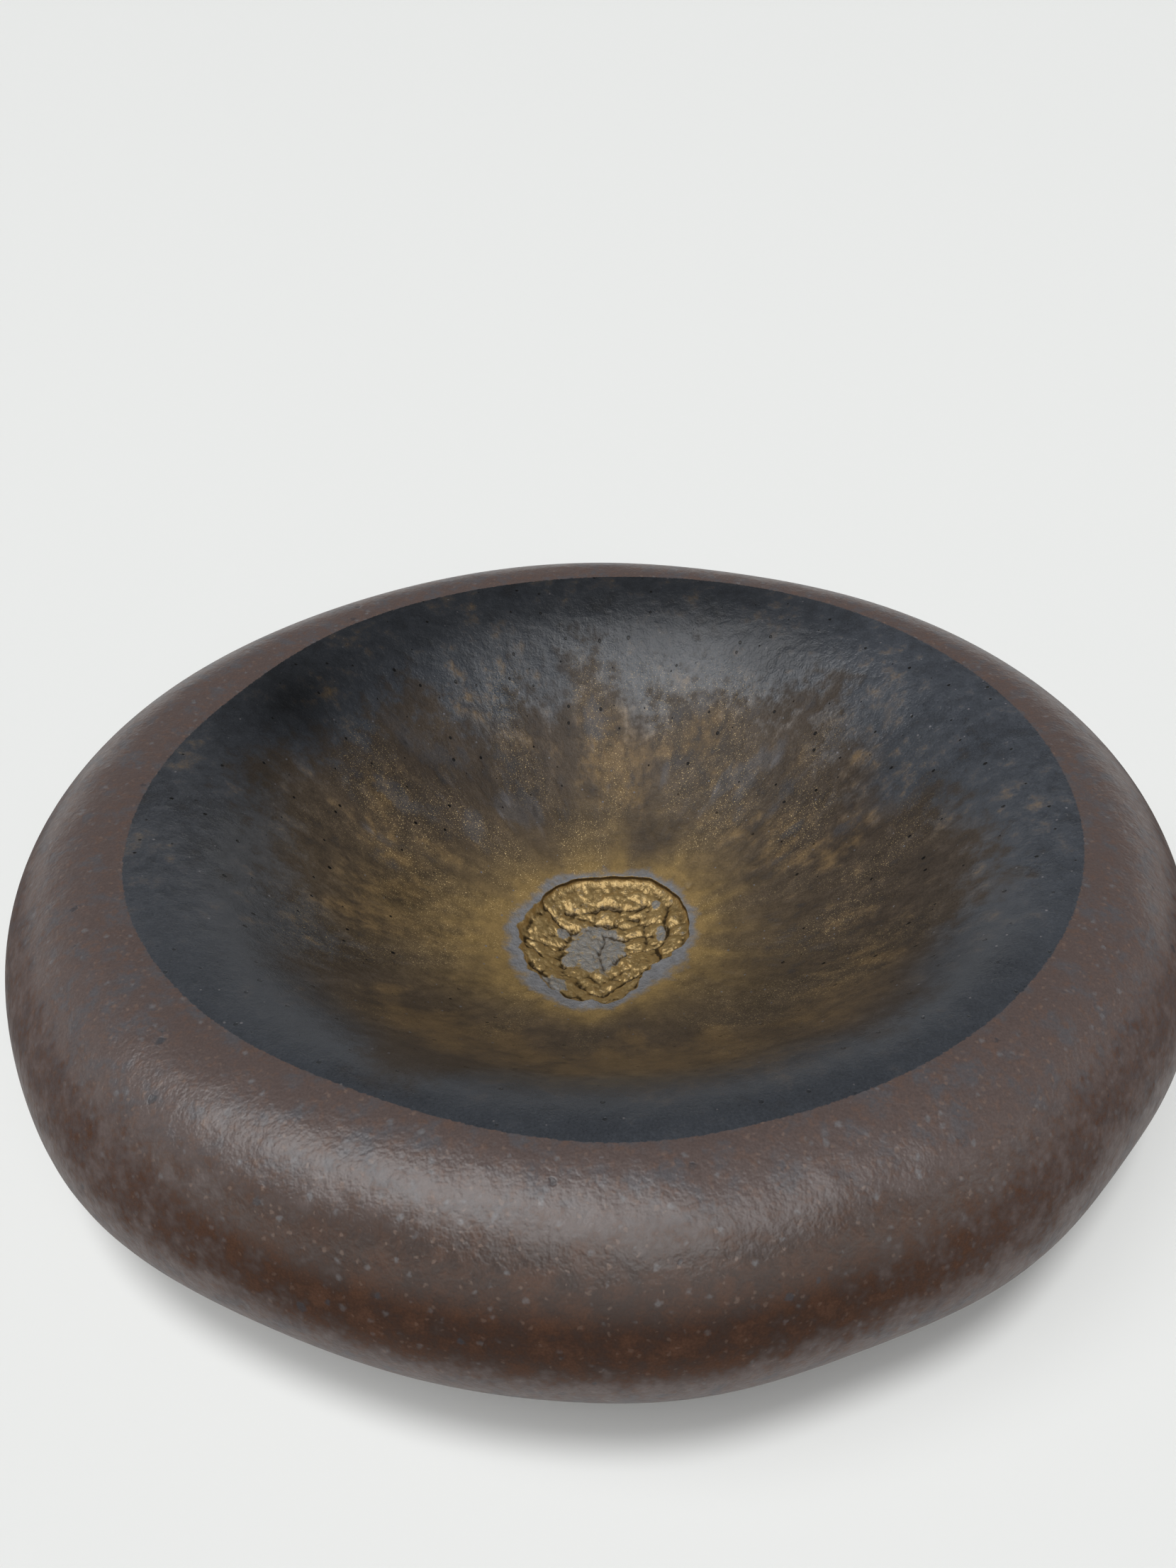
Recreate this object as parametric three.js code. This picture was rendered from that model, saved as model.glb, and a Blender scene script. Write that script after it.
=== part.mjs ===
// A hand-formed stoneware bowl, shaped like a flattened river stone. A thick bare shoulder rolls
// over a crest into a wide glazed dish, and a small crater of torn clay lies in the dish's floor.
// Millimetres, +Z up, the flat foot on z = 0 and the origin under the middle of the bowl.

import * as THREE from 'three';
import { mergeVertices } from 'three/addons/utils/BufferGeometryUtils.js';

const { degToRad, smoothstep } = THREE.MathUtils;

// Body: two quarter ellipses, from the foot out to the belly and from the belly up to the crest
const HEIGHT = 75;
const BELLY_RADIUS = 161;
const BELLY_HEIGHT = 40;
const CREST_RADIUS = 132;
const FOOT_RADIUS = 82;

// Dish: a round lip, a straight wall and a round floor, a little off the middle of the body
const DISH_CENTRE = new THREE.Vector2(3.1, -2.6);
const DISH_DEPTH = 61.4;
const LIP_RADIUS = 42.5;
const WALL_SLOPE = degToRad(41);

// Unevenness of the hand-formed body: a slight oval, with soft bulges and flats round the belly.
// Directions are in degrees from +X towards +Y, and a flat is a bulge with a minus sign.
const OVAL = 2.1;
const BULGES = [
  { at: 40, spread: 14, out: 0.5 },
  { at: 67, spread: 10, out: -1.1 },
  { at: 96, spread: 13, out: 1.4 },
  { at: 135, spread: 14, out: -1.2 },
  { at: 193, spread: 10, out: 0.3 },
  { at: 226, spread: 9, out: 1.7 },
  { at: 245, spread: 10, out: -1.4 },
  { at: 276, spread: 6, out: 0.9 },
  { at: 291, spread: 6, out: -0.8 },
  { at: 302, spread: 6, out: 0.4 },
  { at: 318, spread: 6, out: -1.2 },
  { at: 333, spread: 9, out: 0.6 },
];

// Crater: a torn edge round a sunken floor, its middle measured from the dish's middle
const CRATER_CENTRE = new THREE.Vector2(-1, -6);
const CRATER_RADIUS = 26.5;
const CRATER_DEPTH = 3.8;
const CRATER_STEP = 0.1;      // breadth of the step at the torn edge, as a share of the radius
const CRATER_BLEND = 2.2;     // where the dish's rings are round again, as a share of the radius
const CRATER_CORNERS = [      // how far the torn edge runs out or in, by direction from its middle
  { at: 35, spread: 14, out: 3 },
  { at: 62, spread: 13, out: 4.5 },
  { at: 105, spread: 22, out: 3.5 },
  { at: 200, spread: 16, out: -1.5 },
  { at: 264, spread: 13, out: 4.5 },
  { at: 320, spread: 20, out: -8.5 },
];
const CRATER_LUMPS = [        // torn lumps and hollows on its floor, placed from the dish's middle
  { x: -9, y: 19, reach: 6, rise: 1.3 },
  { x: 3, y: 19, reach: 7, rise: 1.6 },
  { x: 13, y: 18, reach: 5, rise: 1.2 },
  { x: 19, y: 7, reach: 5, rise: 1.7 },
  { x: 20, y: -4, reach: 4, rise: 2.0 },
  { x: 8, y: -10, reach: 6, rise: 2.2 },
  { x: 4, y: 9, reach: 5, rise: 1.2 },
  { x: -20, y: 4, reach: 5, rise: 2.2 },
  { x: -21, y: -10, reach: 5, rise: 2.1 },
  { x: -13, y: -20, reach: 5, rise: 1.8 },
  { x: 4, y: -24, reach: 4, rise: 1.6 },
  { x: -5, y: -33, reach: 4, rise: 2.2 },
  { x: -2, y: -26, reach: 3, rise: -1.4 },
  { x: -4, y: -3, reach: 8, rise: -0.8 },
];

// Facets
const SEGMENTS = 96;
const UNDERSIDE_STEPS = 9;
const SHOULDER_STEPS = 10;
const LIP_STEPS = 6;
const WALL_STEPS = 5;
const CRATER_RINGS = [2.2, 1.8, 1.5, 1.25, 1.12, 1.04, 0.97, 0.9, 0.82, 0.73, 0.63, 0.52, 0.4, 0.27, 0.14, 0];

const CLAY_COLOUR = '#5b4c48';
const CLAY_ROUGHNESS = 0.75;

// The lip and the floor's arc are both tangent to the wall, which settles the floor's radius
const FLOOR_RADIUS = (CREST_RADIUS * Math.sin(WALL_SLOPE) - DISH_DEPTH * Math.cos(WALL_SLOPE))
  / (1 - Math.cos(WALL_SLOPE)) - LIP_RADIUS;
const WALL_TOP = CREST_RADIUS - LIP_RADIUS * Math.sin(WALL_SLOPE);
const WALL_FOOT = FLOOR_RADIUS * Math.sin(WALL_SLOPE);

// The section's ring that lies on the crest, counted from the foot's middle
const CREST_RING = 1 + UNDERSIDE_STEPS + SHOULDER_STEPS;

// Sum of soft bulges at a direction, each a bell curve over the shortest way round
function swell(bulges, direction) {
  let out = 0;
  for (const bulge of bulges) {
    const turn = direction - degToRad(bulge.at);
    const away = Math.atan2(Math.sin(turn), Math.cos(turn)) / degToRad(bulge.spread);
    out += bulge.out * Math.exp(-away * away / 2);
  }
  return out;
}

// Height of the plain dish at a distance from its middle
function dishHeight(distance) {
  const floor = HEIGHT - DISH_DEPTH + FLOOR_RADIUS;
  if (distance < WALL_FOOT) {
    return floor - Math.sqrt(FLOOR_RADIUS ** 2 - distance ** 2);
  }
  return floor - FLOOR_RADIUS * Math.cos(WALL_SLOPE) + (distance - WALL_FOOT) * Math.tan(WALL_SLOPE);
}

// How far the crater's floor lies under the plain dish
function craterDrop(x, y, share) {
  let floor = -CRATER_DEPTH;
  for (const lump of CRATER_LUMPS) {
    const away = Math.hypot(x - lump.x, y - lump.y) / lump.reach;
    floor += lump.rise * Math.exp(-away * away);
  }
  return floor * (1 - smoothstep(share, 1 - CRATER_STEP, 1 + CRATER_STEP / 2));
}

// Section of the bowl as rings of radius and height, from the foot's middle over the crest
// to the dish's middle. The rings of the dish get their height later.
function sectionRings() {
  const underside = new THREE.EllipseCurve(
    FOOT_RADIUS, BELLY_HEIGHT, BELLY_RADIUS - FOOT_RADIUS, BELLY_HEIGHT, -Math.PI / 2, 0);
  const shoulder = new THREE.EllipseCurve(
    CREST_RADIUS, BELLY_HEIGHT, BELLY_RADIUS - CREST_RADIUS, HEIGHT - BELLY_HEIGHT, 0, Math.PI / 2);
  const lip = new THREE.EllipseCurve(
    CREST_RADIUS, HEIGHT - LIP_RADIUS, LIP_RADIUS, LIP_RADIUS, Math.PI / 2, Math.PI / 2 + WALL_SLOPE);
  const wallBottom = CRATER_RINGS[0] * CRATER_RADIUS;
  const wall = new THREE.LineCurve(
    new THREE.Vector2(WALL_TOP, dishHeight(WALL_TOP)), new THREE.Vector2(wallBottom, dishHeight(wallBottom)));
  const crater = CRATER_RINGS.map((share) => new THREE.Vector2(share * CRATER_RADIUS, HEIGHT - DISH_DEPTH));
  return [
    new THREE.Vector2(0, 0),
    ...underside.getPoints(UNDERSIDE_STEPS),
    ...shoulder.getPoints(SHOULDER_STEPS).slice(1),
    ...lip.getPoints(LIP_STEPS).slice(1),
    ...wall.getPoints(WALL_STEPS).slice(1, -1),
    ...crater,
  ];
}

// Moves one point of the body: the oval and the bulges on the outside, fading over the lip
// to the dish's own middle, and the crater's edge and floor near that middle
function shape(point, ring) {
  const radius = Math.hypot(point.x, point.y);
  const direction = Math.atan2(point.y, point.x);
  const inside = ring > CREST_RING;
  const body = smoothstep(radius, inside ? WALL_TOP : FOOT_RADIUS, CREST_RADIUS);
  const share = radius / CRATER_RADIUS;
  const crater = inside ? 1 - smoothstep(share, 1.1, CRATER_BLEND) : 0;
  const reach = radius
    + body * (OVAL * Math.cos(2 * direction) + swell(BULGES, direction))
    + crater * share * swell(CRATER_CORNERS, direction);
  const x = reach * Math.cos(direction) + crater * CRATER_CENTRE.x;
  const y = reach * Math.sin(direction) + crater * CRATER_CENTRE.y;
  if (inside && radius < WALL_TOP) {
    point.z = dishHeight(Math.hypot(x, y)) + craterDrop(x, y, share);
  }
  const dish = inside ? 1 - body : 0;
  point.x = x + dish * DISH_CENTRE.x;
  point.y = y + dish * DISH_CENTRE.y;
}

function bowlGeometry() {
  const rings = sectionRings();
  const lathe = new THREE.LatheGeometry(rings, SEGMENTS);
  lathe.rotateX(Math.PI / 2);
  const positions = lathe.getAttribute('position');
  const point = new THREE.Vector3();
  for (let i = 0; i < positions.count; i++) {
    point.fromBufferAttribute(positions, i);
    shape(point, i % rings.length);
    positions.setXYZ(i, point.x, point.y, point.z);
  }
  lathe.deleteAttribute('normal');
  lathe.deleteAttribute('uv');
  const geometry = mergeVertices(lathe);
  geometry.computeBoundingBox();
  const middle = geometry.boundingBox.getCenter(new THREE.Vector3());
  geometry.translate(-middle.x, -middle.y, 0);
  geometry.computeVertexNormals();
  return geometry;
}

const bowl = new THREE.Mesh(
  bowlGeometry(),
  new THREE.MeshStandardMaterial({ color: CLAY_COLOUR, roughness: CLAY_ROUGHNESS, metalness: 0 }));
bowl.name = 'bowl';

const stoneFormBowl = new THREE.Group();
stoneFormBowl.add(bowl);

export default stoneFormBowl;
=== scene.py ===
import math

import bpy
import numpy as np
from mathutils import Matrix, Vector


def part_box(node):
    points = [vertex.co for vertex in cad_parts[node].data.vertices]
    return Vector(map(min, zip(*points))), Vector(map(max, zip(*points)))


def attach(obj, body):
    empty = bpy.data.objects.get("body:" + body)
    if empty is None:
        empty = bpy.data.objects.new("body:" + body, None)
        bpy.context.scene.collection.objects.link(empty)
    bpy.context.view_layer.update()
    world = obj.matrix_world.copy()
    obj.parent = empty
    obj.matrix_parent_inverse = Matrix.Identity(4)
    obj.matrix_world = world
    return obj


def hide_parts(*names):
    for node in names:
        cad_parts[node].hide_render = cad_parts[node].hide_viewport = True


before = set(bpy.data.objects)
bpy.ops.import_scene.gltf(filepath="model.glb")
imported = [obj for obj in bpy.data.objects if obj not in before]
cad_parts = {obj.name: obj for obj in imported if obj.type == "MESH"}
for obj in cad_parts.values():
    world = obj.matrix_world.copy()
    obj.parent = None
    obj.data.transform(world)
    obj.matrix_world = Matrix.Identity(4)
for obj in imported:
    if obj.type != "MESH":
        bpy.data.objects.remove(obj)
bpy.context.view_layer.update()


# The body: one hand-formed piece of grogged stoneware, shaped like a flattened river stone.
# Its half section is drawn by extruding a point, from the foot's middle over the crest to the dish's
# middle, and is turned round the upright axis. The unevenness that the hands left comes after that.
mm = 0.001
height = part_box("bowl")[1].z
belly_radius = 161 * mm
belly_height = 40 * mm
crest_radius = 132 * mm
foot_radius = 82 * mm
dish_depth = 61.4 * mm
lip_radius = 42.5 * mm
wall_slope = math.radians(41)
turn_steps = 400
foot_steps = 3
underside_steps = 26
shoulder_steps = 30
lip_steps = 20
dish_rings = [(58, 36), (36, 24), (30, 14), (25, 20), (0, 55)]  # down to a radius in mm, in so many steps
weld_distance = 0.001 * mm

# The lip and the floor's arc are both tangent to the straight wall, which settles the floor's radius
floor_radius = (crest_radius * math.sin(wall_slope) - dish_depth * math.cos(wall_slope)) \
    / (1 - math.cos(wall_slope)) - lip_radius
wall_top = crest_radius - lip_radius * math.sin(wall_slope)
wall_foot = floor_radius * math.sin(wall_slope)


def arc(centre, reach, start, end, steps):
    """Points on a stretch of an upright ellipse, without the first one. Angles are in degrees."""
    for angle in np.radians(np.linspace(start, end, steps + 1)[1:]):
        yield centre[0] + reach[0] * math.cos(angle), centre[1] + reach[1] * math.sin(angle)


def dish_height(distance):
    """Height of the plain dish at a distance from its middle."""
    centre = height - dish_depth + floor_radius
    floor = centre - np.sqrt(np.maximum(floor_radius ** 2 - distance ** 2, 0))
    wall = centre - floor_radius * math.cos(wall_slope) + (distance - wall_foot) * math.tan(wall_slope)
    return np.where(distance < wall_foot, floor, wall)


def section_points():
    """The half section, from the middle of the foot round to the middle of the dish."""
    for step in range(1, foot_steps + 1):
        yield foot_radius * step / foot_steps, 0
    underside = (belly_radius - foot_radius, belly_height)
    yield from arc((foot_radius, belly_height), underside, -90, 0, underside_steps)
    shoulder = (belly_radius - crest_radius, height - belly_height)
    yield from arc((crest_radius, belly_height), shoulder, 0, 90, shoulder_steps)
    lip = (lip_radius, lip_radius)
    lip_end = 90 + math.degrees(wall_slope)
    yield from arc((crest_radius, height - lip_radius), lip, 90, lip_end, lip_steps)
    start = wall_top
    for end, steps in dish_rings:
        for radius in np.linspace(start, end * mm, steps + 1)[1:]:
            yield radius, float(dish_height(radius))
        start = end * mm


bpy.ops.object.select_all(action="DESELECT")
bpy.ops.mesh.primitive_circle_add(vertices=3, radius=foot_radius, location=(0, 0, 0))
bowl = bpy.context.object
bowl.name = "stoneware_bowl"
bowl.data.name = "stoneware_bowl"
bpy.ops.object.mode_set(mode="EDIT")
bpy.ops.mesh.merge(type="CENTER")
last = (0, 0)
for point in section_points():
    step = (point[0] - last[0], 0, point[1] - last[1])
    bpy.ops.mesh.extrude_vertices_move(TRANSFORM_OT_translate={"value": step})
    last = point
bpy.ops.object.mode_set(mode="OBJECT")
bpy.ops.object.modifier_add(type="SCREW")
turning = bowl.modifiers[-1]
turning.steps = turn_steps
turning.render_steps = turn_steps
turning.use_merge_vertices = True
turning.merge_threshold = weld_distance
bpy.ops.object.modifier_apply(modifier=turning.name)
bpy.ops.object.mode_set(mode="EDIT")
bpy.ops.mesh.select_all(action="SELECT")
bpy.ops.mesh.remove_doubles(threshold=weld_distance)
bpy.ops.mesh.normals_make_consistent(inside=False)
bpy.ops.object.mode_set(mode="OBJECT")
bpy.ops.object.shade_smooth()

oval = 2.1 * mm
dish_centre = np.array([3.1, -2.6]) * mm
underside_top = 10 * mm  # the underside inside the crest's radius lies lower than this
bulges = [  # direction in degrees, spread in degrees, how far out in mm
    (40, 14, 0.5), (67, 10, -1.1), (96, 13, 1.4), (135, 14, -1.2), (193, 10, 0.3), (226, 9, 1.7),
    (245, 10, -1.4), (276, 6, 0.9), (291, 6, -0.8), (302, 6, 0.4), (318, 6, -1.2), (333, 9, 0.6),
]


def swell(bumps, direction):
    """Sum of soft bumps round a ring, each a bell curve over the shortest way round."""
    out = np.zeros_like(direction)
    for at, spread, reach in bumps:
        away = np.angle(np.exp(1j * (direction - math.radians(at)))) / math.radians(spread)
        out += reach * mm * np.exp(-away ** 2 / 2)
    return out


def smooth(value, start, end):
    """0 at start, 1 at end, and an even S between them. Start may be the larger one."""
    share = np.clip((value - start) / (end - start), 0, 1)
    return share * share * (3 - 2 * share)


def read_places():
    """Places of the bowl's points, one row each."""
    places = np.empty(len(bowl.data.vertices) * 3)
    bowl.data.vertices.foreach_get("co", places)
    return places.reshape(-1, 3)


def write_places(places):
    """Puts the bowl's points at these places."""
    bowl.data.vertices.foreach_set("co", places.ravel())
    bowl.data.update()


places = read_places()
radius = np.hypot(places[:, 0], places[:, 1])
direction = np.arctan2(places[:, 1], places[:, 0])
inside = (radius < crest_radius) & (places[:, 2] > underside_top)
body = smooth(radius, np.where(inside, wall_top, foot_radius), crest_radius)


# The crater: clay torn open in the middle of the dish, with a crisp overhung edge at the far side.
# The rings round it follow its outline, and its floor sinks between torn lumps, parted by cracks.
crater_centre = np.array([-1, -6]) * mm
crater_radius = 26.5 * mm
crater_depth = 2.6 * mm
near_step = 0.5 * mm
far_step = 1.0 * mm
overhang = 0.9 * mm
far_turn = math.radians(22)  # how far the far side's middle lies to the right of straight back
edge_jags = [  # waves round the torn edge, where they start, how far out in mm
    (9, 1, 0.45), (17, 2, 0.4), (31, 0, 0.35),
]
far_calm = 0.7  # how much of the jags the overhung edge loses

# Places in the crater, as shares of its radius
round_again = (1.1, 2.2)     # where the dish's rings go back to round
crater_end = (1.4, 1.6)      # where the relief of the crater has faded out
jag_reach = 0.14             # how far the jags of the edge reach
undercut_place = 0.968       # where the overhang bites in
undercut_reach = 0.018
edge_step = (0.965, 1.0)     # where the floor steps up to the edge
floor_sink = (0.02, 0.55)    # how far in from the edge the floor sinks
torn_end = (0.93, 1.0)       # where the torn clay's roughness fades out

crater_corners = [  # direction, spread, how far out
    (35, 14, 3), (62, 13, 4.5), (105, 22, 3.5), (200, 16, -1.5), (264, 13, 4.5), (320, 20, -8.5),
]
crater_lumps = [  # place from the dish's middle, reach, rise
    (-9, 19, 6, 0.5), (3, 19, 7, 0.7), (13, 18, 5, 0.5), (19, 7, 5, 1.2), (20, -4, 4, 1.3),
    (8, -10, 6, 1.8), (4, 9, 5, 0.8), (-20, 4, 5, 1.1), (-21, -10, 5, 1.0), (-13, -20, 5, 1.0),
    (4, -24, 4, 0.8), (-5, -34, 3.5, 1.7), (-4, -3, 8, 0.4), (26.5, 16.5, 1.1, -0.9),
]
crater_cracks = [  # depth, half width, then the places it runs through
    (1.5, 0.8, [(11, -16.5), (5, -20.5), (-2, -27), (-6, -24), (-9, -20)]),
    (1.6, 0.8, [(-12, -29.5), (-9, -28), (-6, -31), (-2, -31.5), (1, -30)]),
    (1.4, 0.7, [(-25, -16), (-23, -14.5), (-20, -16.5), (-18, -19.5)]),
    (1.3, 0.7, [(-20.5, 14), (-17.5, 11), (-15, 7), (-10, 4)]),
    (1.2, 0.9, [(-13, 12), (-7, 12.5), (0, 14.5), (6, 13), (12, 14)]),
    (1.3, 0.8, [(-3, 7.5), (2, 6.5), (5, 9), (10, 9.5)]),
    (1.3, 0.7, [(2.5, -10.5), (4, -8), (8, -5.5), (15, -4), (16.3, -9), (16, -14)]),
    (1.2, 0.7, [(20, 12), (18.5, 6), (19, 1), (17, -4)]),
    (1.0, 0.6, [(8, 0.5), (3, 1), (-1, 3), (-0.5, 0), (-2.5, -6), (-1, -13)]),
    (1.0, 0.6, [(-24, -2), (-19, -2.5), (-16, -5), (-14, -3)]),
    (1.0, 0.6, [(-23, -5), (-20, -9), (-17, -12), (-13, -12)]),
]


def line_distance(x, y, points):
    """Distance from each place to the nearest stretch of a line through the points."""
    nearest = np.full_like(x, np.inf)
    for (start_x, start_y), (end_x, end_y) in zip(points[:-1], points[1:]):
        run_x, run_y = (end_x - start_x) * mm, (end_y - start_y) * mm
        off_x, off_y = x - start_x * mm, y - start_y * mm
        along = np.clip((off_x * run_x + off_y * run_y) / (run_x ** 2 + run_y ** 2), 0, 1)
        nearest = np.minimum(nearest, np.hypot(off_x - along * run_x, off_y - along * run_y))
    return nearest


share = radius / crater_radius
far_side = smooth(np.sin(direction + far_turn), 0.1, 0.6)
crater = np.where(inside, 1 - smooth(share, *round_again), 0)
jag = sum(out * np.sin(count * direction + start) for count, start, out in edge_jags) * mm
edge = np.exp(-((share - 1) / jag_reach) ** 2)
under = np.exp(-((share - undercut_place) / undercut_reach) ** 2 / 2)
reach = radius + body * (oval * np.cos(2 * direction) + swell(bulges, direction)) \
    + crater * (share * swell(crater_corners, direction) + edge * jag * (1 - far_calm * far_side)
                + under * overhang * far_side)
x = reach * np.cos(direction) + crater * crater_centre[0]
y = reach * np.sin(direction) + crater * crater_centre[1]
step = near_step + (far_step - near_step) * far_side
floor = -step - (crater_depth - step) * smooth(1 - share, *floor_sink)
for depth, width, points in crater_cracks:
    floor -= depth * mm * np.exp(-line_distance(x, y, points) / (width * mm))
floor *= 1 - smooth(share, *edge_step)
for lump_x, lump_y, lump_reach, rise in crater_lumps:
    floor += rise * mm * np.exp(-(np.hypot(x - lump_x * mm, y - lump_y * mm) / (lump_reach * mm)) ** 2)
on_dish = inside & (radius < wall_top)
near_crater = np.where(on_dish, 1 - smooth(share, *crater_end), 0)
places[:, 2] = np.where(on_dish, dish_height(np.hypot(x, y)) + floor * near_crater, places[:, 2])
dish = np.where(inside, 1 - body, 0)
places[:, 0] = x + dish * dish_centre[0]
places[:, 1] = y + dish * dish_centre[1]
middle = (places.min(0) + places.max(0)) / 2
dish_middle = dish_centre - middle[:2]
places[:, :2] -= middle[:2]
write_places(places)

least_weight = 0.01  # points that weigh less stay as they are


def roughen(name, kind, settings, weights, strength):
    """Lifts and sinks the bowl's points by a texture, each by its own weight."""
    group = bowl.vertex_groups.new(name=name)
    for index in np.flatnonzero(weights > least_weight):
        group.add([int(index)], float(weights[index]), "REPLACE")
    texture = bpy.data.textures.new(name, kind)
    for setting, value in settings.items():
        setattr(texture, setting, value)
    bpy.ops.object.modifier_add(type="DISPLACE")
    relief = bowl.modifiers[-1]
    relief.texture = texture
    relief.texture_coords = "LOCAL"
    relief.vertex_group = name
    relief.direction = "Z"
    relief.strength = strength
    bpy.ops.object.modifier_apply(modifier=relief.name)
    bowl.vertex_groups.clear()


grey_patches = [  # places on the crater's floor that the gold missed: place, half breadth, half length
    (-3, -3.5, 8.5, 11), (-11.2, -9, 2.6, 2.6), (16, 13.5, 1.6, 1.8), (17, 1, 1.8, 3),
    (-13.5, 3, 2, 2.4), (-18, -24, 6, 4.5),
]
patch_fade = (1.25, 0.75)  # share of a patch's half size over which it fades in
grey_calm = 0.3            # how much smoother the grey patches are than the gold
crumbled = {"weight_1": -1, "weight_2": 1}
clouded = {"noise_depth": 2}
torn_reliefs = [  # name, texture, its settings, its size in mm, its height in mm
    ("torn_lumps", "VORONOI", crumbled, 5.5, 3.3),
    ("torn_crumbs", "VORONOI", crumbled, 2.4, 1.2),
    ("torn_grain", "CLOUDS", clouded, 1.4, 0.8),
]
torn = np.where(inside, 1 - smooth(share, *torn_end), 0)
grey = np.zeros_like(x)
for patch_x, patch_y, patch_breadth, patch_length in grey_patches:
    away = np.hypot((x / mm - patch_x) / patch_breadth, (y / mm - patch_y) / patch_length)
    grey = np.maximum(grey, smooth(away, *patch_fade))
torn_weight = torn * (1 - grey_calm * grey)
for name, kind, settings, size, rise in torn_reliefs:
    roughen(name, kind, {"noise_scale": size * mm, **settings}, torn_weight, rise * mm)


# The bare clay: unglazed stoneware over the shoulder, the belly and the foot. It was smoothed to a dull
# sheen above and left raw and rusty round the belly. Soft specks of grog lie in a fine leathery grain.
class Shade:
    """One socket of a material's nodes. Operators on it add Math nodes, and node() adds any other."""

    def __init__(self, tree, socket=None):
        self.tree = tree
        self.socket = socket

    def node(self, kind, settings, sockets, take=0):
        """Adds a node, sets it up, feeds its sockets and gives one of its outputs."""
        made = self.tree.nodes.new("ShaderNode" + kind)
        for name, value in settings.items():
            setattr(made, name, value)
        for name, value in sockets.items():
            if isinstance(value, Shade):
                self.tree.links.new(value.socket, made.inputs[name])
            else:
                made.inputs[name].default_value = value
        return Shade(self.tree, made.outputs[take])

    def other(self, take):
        """Another output of the same node."""
        return Shade(self.tree, self.socket.node.outputs[take])

    def maths(self, operation, first, second):
        """Adds a Math node on two values."""
        return self.node("Math", {"operation": operation}, {0: first, 1: second})

    def __add__(self, other):
        return self.maths("ADD", self, other)

    def __radd__(self, other):
        return self.maths("ADD", other, self)

    def __sub__(self, other):
        return self.maths("SUBTRACT", self, other)

    def __rsub__(self, other):
        return self.maths("SUBTRACT", other, self)

    def __mul__(self, other):
        return self.maths("MULTIPLY", self, other)

    def __rmul__(self, other):
        return self.maths("MULTIPLY", other, self)

    def __truediv__(self, other):
        return self.maths("DIVIDE", self, other)

    def __rtruediv__(self, other):
        return self.maths("DIVIDE", other, self)


def blend(under, over, share):
    """The first colour with the second laid over it by a share. Mix numbers its colour sockets."""
    return share.node("Mix", {"data_type": "RGBA"}, {0: share, 6: under, 7: over}, 2)


def shaded(colour, amount):
    """A colour made lighter or darker by an amount."""
    return amount.node("VectorMath", {"operation": "SCALE"}, {0: colour, "Scale": amount})


def between(value, start, end):
    """0 at start, 1 at end, and an even S between them. Start may be the larger one."""
    return value.node("MapRange", {"interpolation_type": "SMOOTHSTEP"},
                      {"Value": value, "From Min": start, "From Max": end})


def clouds(where, size, detail=2, roughness=0.5):
    """Soft noise with features of about this size."""
    return where.node("TexNoise", {"noise_dimensions": "3D"},
                      {"Vector": where, "Scale": 1 / size, "Detail": detail, "Roughness": roughness})


def specks(where, spacing, reach, edge=0.1, dimensions="3D"):
    """Soft dots round scattered points, of all sizes up to a reach.

    Reach and edge are shares of the spacing.
    """
    near = where.node("TexVoronoi", {"voronoi_dimensions": dimensions},
                      {"Vector": where, "Scale": 1 / spacing})
    lot = near.node("SeparateColor", {}, {"Color": near.other("Color")})
    return between(lot * reach - near, 0, edge)


def warped(where, size, reach):
    """The same space, pushed about by noise so that what is drawn in it gets uneven edges."""
    push = clouds(where, size, 1).other("Color")
    return where.node("VectorMath", {"operation": "MULTIPLY_ADD"},
                      {0: push, 1: (reach, reach, reach), 2: where})


def attribute(name):
    """A value that the mesh holds at its points."""
    return canvas.node("Attribute", {"attribute_name": name}, {}, "Fac")


def keep(name, values):
    """Stores a value at each of the bowl's points for the material."""
    bowl.data.attributes.new(name, "FLOAT", "POINT").data.foreach_set("value", values.astype(np.float32))


def grained(relief):
    """The surface's facing, roughened by a fine relief in mm."""
    return canvas.node("Bump", {}, {"Height": relief, "Distance": mm})


def surface(colour, roughness, facing, others):
    """A shader with this colour and roughness."""
    return canvas.node("BsdfPrincipled", {},
                       {"Base Color": colour, "Roughness": roughness, "Normal": facing, **others})


def layered(under, over, share):
    """One shader over another by a share."""
    return canvas.node("MixShader", {}, {0: share, 1: under, 2: over})


finish = bpy.data.materials.new("clay_glaze_and_gold")
finish.use_nodes = True
finish.node_tree.nodes.remove(finish.node_tree.nodes["Principled BSDF"])
bowl.data.materials.append(finish)
canvas = Shade(finish.node_tree)
spot = canvas.node("Mapping", {}, {  # a place in mm from under the middle of the dish
    "Vector": canvas.node("TexCoord", {}, {}, "Object"),
    "Scale": (1 / mm, 1 / mm, 1 / mm),
    "Location": (-dish_middle[0] / mm, -dish_middle[1] / mm, 0),
})

places = read_places()
level = places[:, 2] / mm
off_x = (places[:, 0] - dish_middle[0]) / mm
off_y = (places[:, 1] - dish_middle[1]) / mm
off_distance = np.hypot(off_x, off_y)
off_direction = np.arctan2(off_y, off_x)
front = math.radians(268)
off_front = np.abs(np.angle(np.exp(1j * (off_direction - front))))
flank = smooth(off_front, math.radians(20), math.radians(55))

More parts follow.
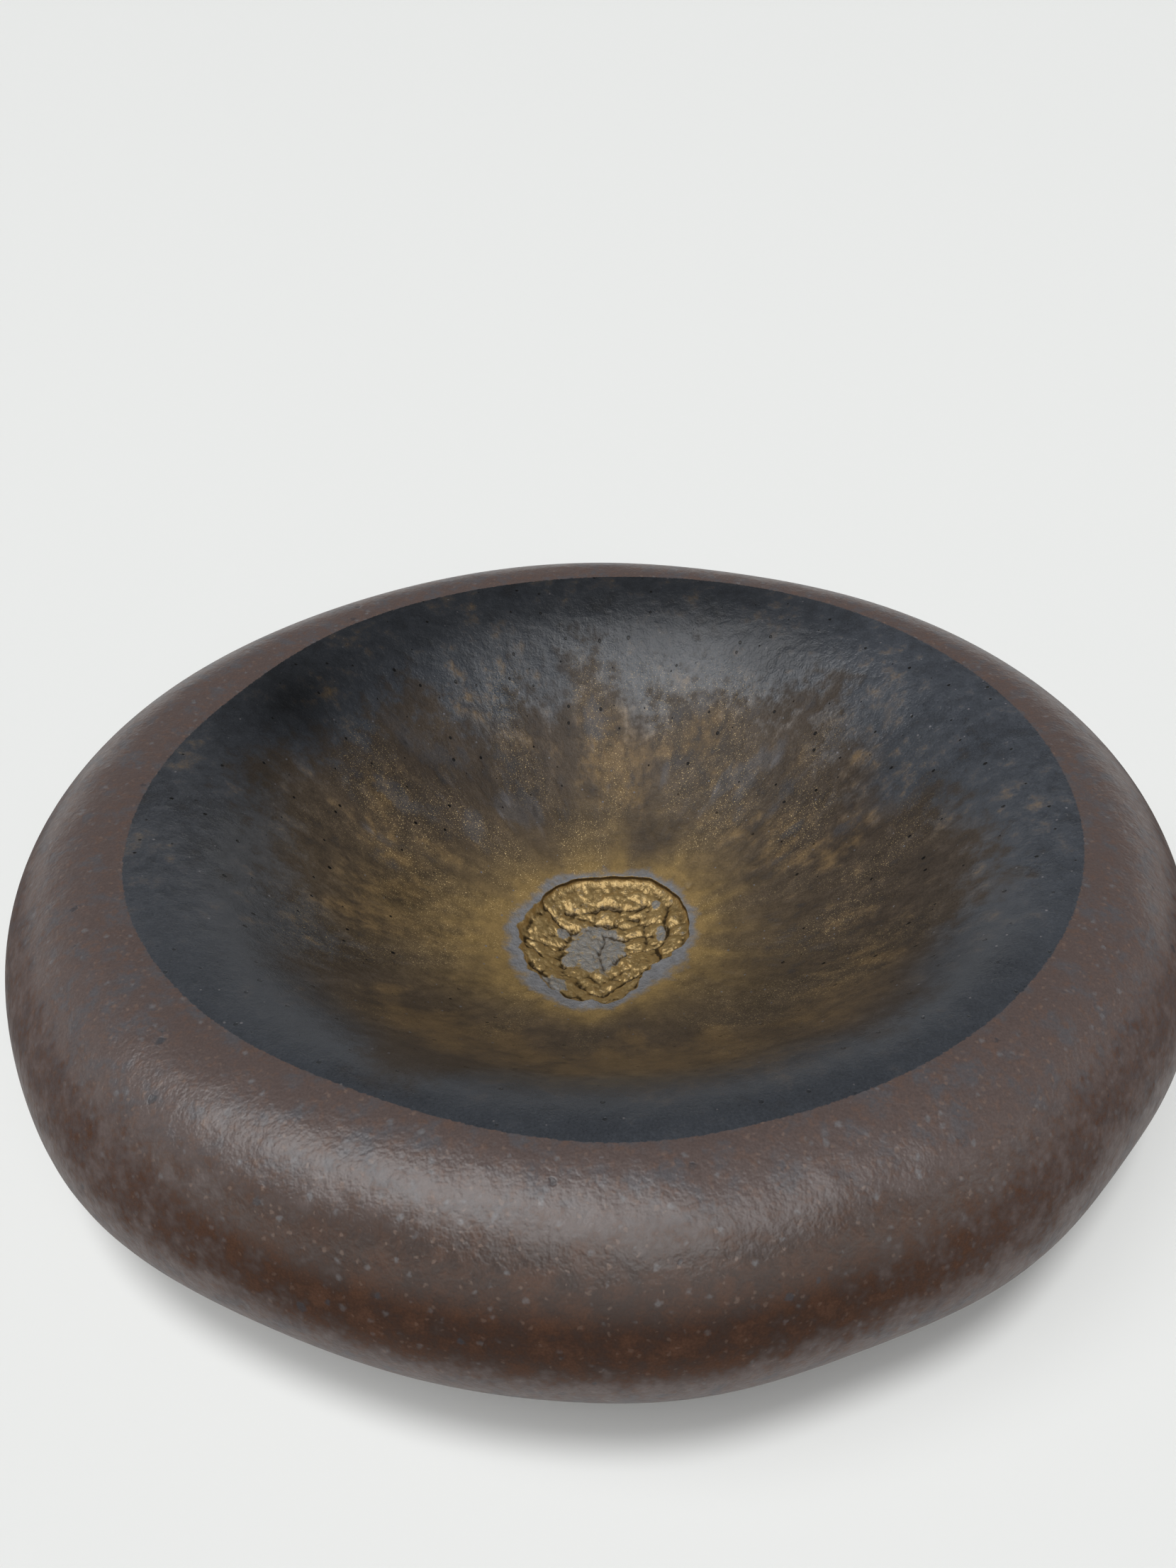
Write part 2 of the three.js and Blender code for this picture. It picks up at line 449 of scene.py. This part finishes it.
# Both belts lie between heights in mm, and the raw one climbs towards the flanks
raw_top = smooth(level - 11 * flank, 65, 53)
raw_foot = smooth(level - 9 * flank, 36, 50)
keep("raw_clay", raw_top * (0.6 + 0.4 * raw_foot))
rust_top = smooth(level, 75, 62)
rust_foot = smooth(level, 34, 50)
rust_strength = 0.35 + swell([(267, 20, 0.85)], off_direction) / mm
keep("rust", rust_top * rust_foot * rust_strength)

purple_clay = (0.090, 0.066, 0.060, 1)
blue_clay = (0.078, 0.080, 0.089, 1)
warm_clay = (0.116, 0.068, 0.049, 1)
rust_clay = (0.030, 0.0155, 0.0105, 1)
bright_rust = (0.062, 0.030, 0.018, 1)
pale_grog = (0.150, 0.152, 0.160, 1)
warm_grog = (0.180, 0.125, 0.098, 1)
dark_grog = (0.034, 0.037, 0.044, 1)

uneven = warped(spot, 1.2, 1.3)
mottle = clouds(spot, 6, 3, 0.6)
tone = clouds(spot, 2.0, 2, 0.6)
grain = clouds(spot, 0.5, 2)
pale = specks(uneven, 3.0, 0.36, 0.25)
warm = specks(uneven, 1.8, 0.38, 0.2)
dark = specks(uneven, 8.5, 0.17, 0.06)


def speckled(ground, strength):
    """A clay colour with its grog and its grain."""
    ground = blend(ground, warm_grog, warm * (0.5 * strength))
    ground = blend(ground, pale_grog, pale * (0.6 * strength))
    ground = blend(ground, dark_grog, dark * 0.6)
    return shaded(ground, 0.66 + grain * 0.66)


clay = blend(purple_clay, blue_clay, between(mottle, 0.46, 0.68) * 0.7)
clay = blend(clay, warm_clay, between(tone, 0.5, 0.7) * 0.45)
rust = blend(rust_clay, bright_rust, between(tone * 0.3 + mottle * 0.7, 0.36, 0.68))
patchy = (mottle - 0.5) * 1.2 + (tone - 0.5) * 0.6
raw = attribute("raw_clay") + patchy * 0.4
rust = blend(clay, rust, between(attribute("rust") + patchy, 0.1, 0.9))
fine_grain = (clouds(spot, 1.0, 1) - 0.5) * 0.13
dimples = (clouds(spot, 5, 1) - 0.5) * 0.3
finger_waves = (clouds(spot, 24, 1) - 0.5) * 1.2
leather = grained(fine_grain + dimples + finger_waves - dark * 0.06)
sheen = {"Specular IOR Level": 0.95}
no_sheen = {"Specular IOR Level": 0.1}
smooth_clay = surface(speckled(rust, 0.9), 0.37 + (tone - 0.5) * 0.16, leather, sheen)
raw_clay = surface(speckled(rust, 0.36), 0.8, leather, no_sheen)
clay_surface = layered(smooth_clay, raw_clay, raw)


# The glaze: a satin blue-black coat that fills the dish up to a crisp wavy edge on the lip. Round the
# crater it broke to umber, bronze and ochre in soft rays, with pale dabs, gold glitter and pinholes.
glaze_radius = 127 * mm
edge_waves = [  # direction, spread, how far out in mm
    (50, 14, 1.2), (156, 12, -2.3), (202, 13, 2.1), (245, 10, -1.9), (272, 7, 1.2), (0, 10, -0.4),
]
bronze_patches = [  # place from the dish's middle, half breadth, half length, strength
    (-44, -8, 14, 9, 0.5), (-46, 13, 13, 7, 0.3), (-70, 34, 8, 14, 0.5), (-30, 70, 11, 7, 0.7),
    (8, 62, 9, 14, 0.8), (30, 67, 14, 6, 0.7), (50, 32, 11, 6, 0.7), (62, 14, 13, 5, 0.5),
    (72, -42, 10, 13, 0.5), (14, -84, 40, 22, 0.85), (-48, -70, 30, 16, 0.6), (60, -62, 22, 16, 0.4),
    (-70, -4, 10, 14, 0.5),
]
dark_patches = [  # grey-black places between the bronze, the first one right behind the crater
    (14, 36, 7, 6, 1.0), (26, 60, 8, 5, 0.9), (-16, 43, 8, 5, 0.7), (-46, 48, 20, 16, 0.9),
    (34, 48, 9, 5, 0.6), (50, -24, 20, 16, 0.8), (-56, -28, 10, 8, 0.5),
]
dark_glaze_and_shade_patches = [  # places painted darker: partly darker glaze, partly painted shade high on the walls and on the near lip
    (-96, 48, 14, 16, 0.5), (-100, 12, 10, 14, 0.4), (-20, 88, 14, 8, 0.4), (62, 82, 16, 10, 0.3),
    (16, 39, 9, 8, 0.5), (-16, 45, 8, 6, 0.3), (-40, 52, 18, 12, 0.3), (-64, 52, 22, 22, 0.4),
    (40, -36, 16, 16, 0.25), (-62, 0, 9, 14, 0.5), (0, -112, 84, 18, 0.38), (86, -84, 22, 22, 0.22),
    (-84, -84, 20, 20, 0.15),
]
bare = -40  # mm, far outside the glaze's edge
tear_range = (-30, 90)  # mm, past which the distance from the tear no longer matters

# How far out from the torn edge each point lies, in mm
tear_reach = crater_radius + swell(crater_corners, direction)
tear_gap = np.where(inside, (share - 1) * tear_reach / mm, tear_range[1])
skin_breadth = 1.5 + swell([(180, 34, 1.8), (320, 20, 4.2), (236, 18, 2.6)], direction) / mm


def waves(turns, length, seed):
    """A soft random field over the dish: many turns make thin rays, and length is along them in mm."""
    count = 40
    draw = np.random.default_rng(seed)
    across = turns * np.cos(off_direction)
    back = turns * np.sin(off_direction)
    where = np.stack([across, back, off_distance / length], 1)
    pushes = draw.normal(size=(count, 3))
    shifts = draw.uniform(0, 2 * np.pi, count)
    return np.cos(where @ pushes.T * 2 + shifts).sum(1) / math.sqrt(count / 2)


def patches(spots):
    """Sum of soft spots over the dish."""
    total = np.zeros_like(off_x)
    for at_x, at_y, breadth, length, strength in spots:
        total += strength * np.exp(-((off_x - at_x) / breadth) ** 2 - ((off_y - at_y) / length) ** 2)
    return total


edge_gap = glaze_radius / mm + swell(edge_waves, off_direction) / mm - off_distance
keep("from_glaze_edge", np.where(level > np.where(inside, 0, belly_height / mm), edge_gap, bare))
keep("from_tear", np.clip(tear_gap, *tear_range))
keep("from_skin_edge", np.clip(tear_gap - skin_breadth, *tear_range))
ring = smooth(off_distance, 40, 56) * smooth(off_distance, 106, 80)
far_half = smooth(off_y, -40, 40)
night_line = 94 + swell([(270, 34, 16), (330, 25, 6)], off_direction) / mm
halo_length = 9 + swell([(184, 22, 12), (225, 14, 4), (55, 18, 6), (95, 8, 5)], off_direction) / mm
keep("night", np.clip((off_distance + 7 * waves(5, 30, 1) - night_line) / 28 + 0.5, -0.8, 1.7))
bronze_rays = smooth(waves(9, 15, 2), -0.6, 2.2) * ring * 0.6
keep("bronze", bronze_rays + patches(bronze_patches) - patches(dark_patches))
haze_rays = smooth(waves(10, 13, 3), -0.2, 2) * ring * far_half
keep("haze", haze_rays + patches(dark_patches) * 0.4)
halo_gap = np.maximum(tear_gap - skin_breadth + 2.5 * waves(9, 26, 4), 0)
behind_crater = np.clip(patches(dark_patches[:1]), 0, 1)
keep("halo", np.exp(-halo_gap / halo_length) * (1 - 0.7 * behind_crater))
glitter_reach = smooth(off_distance, 108, 80)
keep("glitter", smooth(waves(6, 18, 5), -1.2, 1.6) * glitter_reach * (0.6 + 0.4 * far_half))
keep("stirred", 1 - 0.55 * smooth(off_y, -30, -70))  # the coat lies calmer on the near wall
# The coat is painted darker high on the back wall and lighter high on the right wall: painted shade and
# painted light.
painted_back_shade = smooth(np.cos(off_direction - math.radians(112)), 0.2, 0.85) * smooth(off_distance, 90, 114)
painted_right_light = smooth(np.cos(off_direction), 0.5, 1) * smooth(off_distance, 94, 106)
keep("deep", patches(dark_glaze_and_shade_patches) + painted_back_shade - 0.25 * painted_right_light)

night = (0.040, 0.045, 0.054, 1)
umber = (0.058, 0.044, 0.033, 1)
bronze = (0.112, 0.075, 0.039, 1)
ochre = (0.188, 0.127, 0.051, 1)
haze_grey = (0.080, 0.078, 0.083, 1)
dab_grey = (0.135, 0.130, 0.138, 1)
gold_glitter_and_glint = (0.60, 0.45, 0.23, 1)
painted_pinhole_shade = (0.004, 0.004, 0.004, 1)

flat = canvas.node("VectorMath", {"operation": "MULTIPLY"}, {0: spot, 1: (1, 1, 0)})
heading = canvas.node("VectorMath", {"operation": "NORMALIZE"}, {0: flat})
from_middle = canvas.node("VectorMath", {"operation": "LENGTH"}, {0: flat}, "Value")


def rays(turns, length):
    """A space whose noise runs in rays: many turns make thin rays, and length is along them."""
    along = canvas.node("CombineXYZ", {}, {"Z": from_middle / length})
    return canvas.node("VectorMath", {"operation": "MULTIPLY_ADD"},
                       {0: heading, 1: (turns, turns, turns), 2: along})


glaze = between(attribute("from_glaze_edge") + (clouds(spot, 0.9) - 0.5) * 0.9, -0.12, 0.12)
stirred = attribute("stirred")
outer = between(from_middle, 30, 70) * stirred
drift = (clouds(rays(5, 20), 1, 6, 0.66) - 0.5) * outer
streak = (clouds(rays(22, 6), 1, 3, 0.65) - 0.5) * outer
blotch = (clouds(spot, 5, 3, 0.6) - 0.5) * stirred
grit = clouds(spot, 0.55, 3, 0.65)
at_night = between(attribute("night") + drift * 2.0 + streak + blotch * 1.6, 0.1, 0.9)
bronzed = attribute("bronze") + drift * 2.2 + streak * 1.6 + blotch * 1.4
hazy = attribute("haze") - drift * 2.0 - streak * 1.8 - blotch * 1.4
coat = blend(umber, night, at_night)
coat = blend(coat, bronze, between(bronzed, 0.1, 1.15))
coat = blend(coat, haze_grey, between(hazy, 0.25, 1.0) * 0.6)
coat = blend(coat, dab_grey, specks(rays(20, 9), 1, 0.55, 0.3) * attribute("haze") * 0.6)
coat = blend(coat, ochre, attribute("halo") * (1.3 + blotch * 1.2))
# Bright gold flecks: gold in the glaze, painted bright so they also stand in for their glints.
coat = blend(coat, gold_glitter_and_glint, between(clouds(spot, 0.34, 1), 0.63, 0.74) * attribute("glitter"))
# Tiny pale specks all over the coat: painted glints.
coat = blend(coat, dab_grey, specks(spot, 3.6, 0.12, 0.04))
pinhole = specks(flat, 10, 0.06, 0.018, "2D") * between(from_middle, 50, 62) * stirred
# The pinholes are painted near black: painted shade down in them.
coat = blend(coat, painted_pinhole_shade, pinhole)
# The deep value darkens the coat: partly darker glaze, partly painted shade.
glaze_and_shade_darkening = 1 - attribute("deep") * 0.62
mottled = 1 + drift * 1.4 + streak * 1.1 + blotch * 0.9
coat = shaded(coat, (0.45 + grit * 1.1) * glaze_and_shade_darkening * mottled)
coat_relief = (grit - 0.5) * 0.10 + drift * 1.1 + blotch * 0.5 + streak * 0.15 - pinhole * 0.5


# The gold: a metallic lustre brushed over the torn clay, with painted shade down in its cracks, a painted
# shadow under the far edge and painted highlights on its crumbs. A matt blue-grey skin of thick glaze
# lies round the tear and on the floor where the gold missed it, with painted shade in its wrinkles.
def hollows(places, rounds):
    """How deep each point lies under the mean of the points round it."""
    ends = np.empty(len(bowl.data.edges) * 2, dtype=np.int32)
    bowl.data.edges.foreach_get("vertices", ends)
    first, second = ends.reshape(-1, 2).T
    mean = places[:, 2].copy()
    count = np.bincount(first, minlength=len(mean)) + np.bincount(second, minlength=len(mean))
    for _ in range(rounds):
        total = np.bincount(first, mean[second], len(mean)) + np.bincount(second, mean[first], len(mean))
        mean = total / count
    return mean - places[:, 2]


hollow_rounds = 30
far_edge = far_side * smooth(share, 0.78, 0.92)
painted_undercut_shadow = far_side * np.exp(-((share - 0.985) / 0.012) ** 2)
# The hollow value says where shade is painted on the gold: in the cracks, less on the far shelf, and a
# painted shadow line under the overhung far edge.
keep("hollow", hollows(places, hollow_rounds) / mm * torn * (1 - 0.5 * far_edge) + 0.7 * painted_undercut_shadow)
keep("grey_floor", grey * torn)

gold = (0.45, 0.31, 0.130, 1)
painted_highlight_gold = (0.82, 0.62, 0.31, 1)
painted_crack_shade = (0.035, 0.022, 0.010, 1)
skin_grey = (0.156, 0.163, 0.178, 1)
floor_grey = (0.150, 0.154, 0.156, 1)

brush = clouds(rays(10, 5), 1, 3, 0.6) - 0.5
skin = between(attribute("from_skin_edge") + brush * 3 + blotch * 8, 2.4, -1.6) * 0.9
wrinkle = clouds(spot, 2.4, 3, 0.6) - 0.5
torn_clay = between(attribute("from_tear") + (clouds(spot, 1.0) - 0.5) * 1.2, 0.15, -0.15)
wrinkle_relief_and_shade = wrinkle * skin
# The skin is painted lighter on its wrinkles' crests and darker in their hollows, painted shade, and is
# also bumped by them.
coat = shaded(blend(coat, skin_grey, skin), 1 + wrinkle_relief_and_shade)
dimpled = grained(coat_relief + wrinkle_relief_and_shade)
matt_coat = surface(coat, 0.5, dimpled, {"Specular IOR Level": 0.4})
satin_coat = surface(coat, 0.35 + drift * 0.6 + (grit - 0.5) * 0.3, dimpled, sheen)
coat_surface = layered(matt_coat, satin_coat, at_night - attribute("deep") * 0.8)

crumb = clouds(spot, 1.3, 2, 0.5)
floor_patch = between(attribute("grey_floor") + wrinkle * 2.6, 0.25, 0.75)
# Brighter gold on the raised crumbs: painted highlights.
lustre = blend(gold, painted_highlight_gold, between(crumb, 0.5, 0.75) * 0.6)
lustre = blend(lustre, floor_grey, floor_patch * (0.6 + crumb * 0.6))
# Painted shade in the cracks and painted shadow under the far edge.
lustre = blend(lustre, painted_crack_shade, between(attribute("hollow"), 0.05, 0.6) * 0.9)
crumbly = grained((crumb - 0.5) * 0.4 + wrinkle * floor_patch * 1.2)
metal = {"Metallic": (1 - floor_patch) * 0.68}
gold_surface = surface(lustre, 0.4 + (crumb - 0.5) * 0.2, crumbly, metal)

whole = layered(clay_surface, layered(coat_surface, gold_surface, torn_clay), glaze)
finish.node_tree.links.new(whole.socket, finish.node_tree.nodes["Material Output"].inputs["Surface"])
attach(bowl, "root")
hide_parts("bowl")


# The floor: a plain sheet of pale matt paper that runs far back under the bowl.
# It belongs to the studio and not to the bowl.
bpy.ops.object.select_all(action="DESELECT")
sheet_size = 60
bpy.ops.mesh.primitive_plane_add(size=sheet_size, location=(0, 0, 0))
floor_sheet = bpy.context.object
floor_sheet.name = "floor_sheet"
paper = bpy.data.materials.new("pale_paper")
paper.use_nodes = True
paper_look = {"Base Color": (0.79, 0.8, 0.79, 1), "Roughness": 0.8, **no_sheen}
for name, value in paper_look.items():
    paper.node_tree.nodes["Principled BSDF"].inputs[name].default_value = value
floor_sheet.data.materials.append(paper)


# The light: a lamp on the ceiling, which gives the shadow its edge, a broad soft window behind the
# camera and another to the left. The room round them is pale near the floor and dark above.
def soft_light(name, tilt, turn, breadth, strength):
    """A sun lamp. Tilt from straight above, turn from front to right and breadth are in degrees."""
    bpy.ops.object.light_add(type="SUN", location=(0, 0, 1))
    lamp = bpy.context.object
    lamp.name = name
    lamp.data.energy = strength
    lamp.data.angle = math.radians(breadth)
    lamp.rotation_euler = (math.radians(tilt), 0, math.radians(turn))
    return lamp


ceiling_lamp = soft_light("ceiling_lamp", 12, 0, 14, 1.5)
ceiling_lamp.visible_glossy = False  # too small and too bright to mirror as a soft highlight
soft_light("front_window", 44, 9, 54, 1.1)
soft_light("left_window", 30, -60, 40, 0.95)
world = bpy.data.worlds.new("dim_room")
world.use_nodes = True
air = Shade(world.node_tree)
upward = air.node("SeparateXYZ", {}, {"Vector": air.node("TexCoord", {}, {}, "Generated")}, "Z")
pale_wall = (0.76, 0.77, 0.76, 1)
dark_ceiling = (0.04, 0.04, 0.04, 1)
wall_top_share = 0.4
room = blend(pale_wall, dark_ceiling, between(upward, 0, wall_top_share))
world.node_tree.links.new(room.socket, world.node_tree.nodes["Background"].inputs["Color"])
bpy.context.scene.world = world
bpy.context.scene.view_settings.view_transform = "Standard"


# The camera: a phone held close, looking down over the near shoulder. Its place and its turn were fitted
# to the bowl's outline and to the glaze's edge. Sizes and places in the photo are in pixels.
photo_width = 1659
photo_height = 2212
photo_focal = 1661
dish_pixel = (851, 1085)  # where the middle of the glaze's edge lies
elevation = math.radians(34.03)
roll = math.radians(-1.12)
distance = 2.602 * glaze_radius
sensor = 36
glaze_height = height - lip_radius + math.sqrt(lip_radius ** 2 - (crest_radius - glaze_radius) ** 2)
pan = math.atan2(dish_pixel[0] - photo_width / 2, photo_focal)
nod = math.atan2(dish_pixel[1] - photo_height / 2, photo_focal)
bpy.ops.object.camera_add()
camera = bpy.context.object
camera.data.sensor_width = sensor
camera.data.lens = photo_focal * sensor / photo_height
aim = Vector((*dish_middle, glaze_height))
stand = aim + distance * Vector((0, -math.cos(elevation), math.sin(elevation)))
camera.matrix_world = Matrix.Translation(stand) @ Matrix.Rotation(math.pi / 2 - elevation, 4, "X") \
    @ Matrix.Rotation(roll, 4, "Z") @ Matrix.Rotation(pan, 4, "Y") @ Matrix.Rotation(nod, 4, "X")
camera.data.clip_start = 0.01
bpy.context.scene.camera = camera
